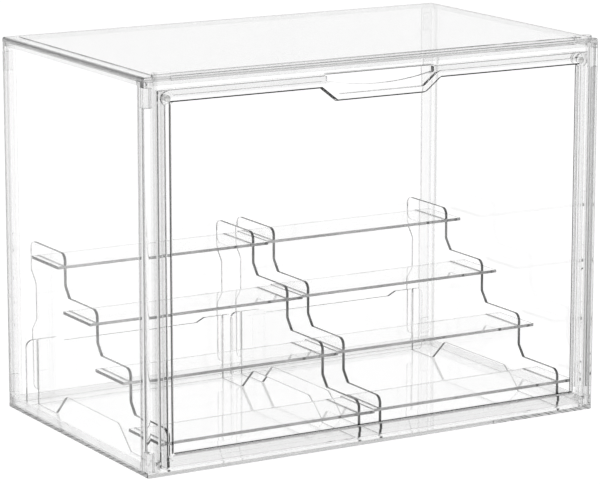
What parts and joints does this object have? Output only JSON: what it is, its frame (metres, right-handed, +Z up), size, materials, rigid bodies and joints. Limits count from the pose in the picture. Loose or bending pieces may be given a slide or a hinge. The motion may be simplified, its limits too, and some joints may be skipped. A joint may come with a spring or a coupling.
{
  "type": "multi glasses organizer",
  "caption": "Clear display case with a drop-down magnetic door, holding two stepped stands that show glasses on tiers.",
  "frame": {"origin": "middle of the case's footprint on the surface it stands on", "axes": "+X along the case's width, +Y from the door to the back, +Z up"},
  "size_m": [0.34, 0.2078, 0.2566],
  "materials": {
    "clear_case_plastic": "clear moulded polystyrene, polished",
    "clear_stand_sheet": "clear acrylic sheet, cut edges",
    "magnet_plating": "nickel-plated magnet"
  },
  "bodies": {
    "case": {"bottom_panel": "clear_case_plastic", "top_panel": "clear_case_plastic", "left_panel": "clear_case_plastic", "right_panel": "clear_case_plastic", "back_panel": "clear_case_plastic", "front_frame": "clear_case_plastic", "frame_magnet_left": "magnet_plating", "frame_magnet_right": "magnet_plating", "stand_left_side_l": "clear_stand_sheet", "stand_left_side_r": "clear_stand_sheet", "stand_left_brace": "clear_stand_sheet", "stand_left_shelf_1": "clear_stand_sheet", "stand_left_shelf_2": "clear_stand_sheet", "stand_left_shelf_3": "clear_stand_sheet", "stand_left_shelf_4": "clear_stand_sheet", "stand_right_side_l": "clear_stand_sheet", "stand_right_side_r": "clear_stand_sheet", "stand_right_brace": "clear_stand_sheet", "stand_right_shelf_1": "clear_stand_sheet", "stand_right_shelf_2": "clear_stand_sheet", "stand_right_shelf_3": "clear_stand_sheet", "stand_right_shelf_4": "clear_stand_sheet"},
    "door": {"door": "clear_case_plastic", "door_magnet_left": "magnet_plating", "door_magnet_right": "magnet_plating"}
  },
  "joints": [
    {"name": "door_hinge", "type": "hinge", "parent": "case", "child": "door", "pos_m": [0, -0.1012, 0.0082], "axis": [1, 0, 0], "range_deg": [0, 90]}
  ]
}
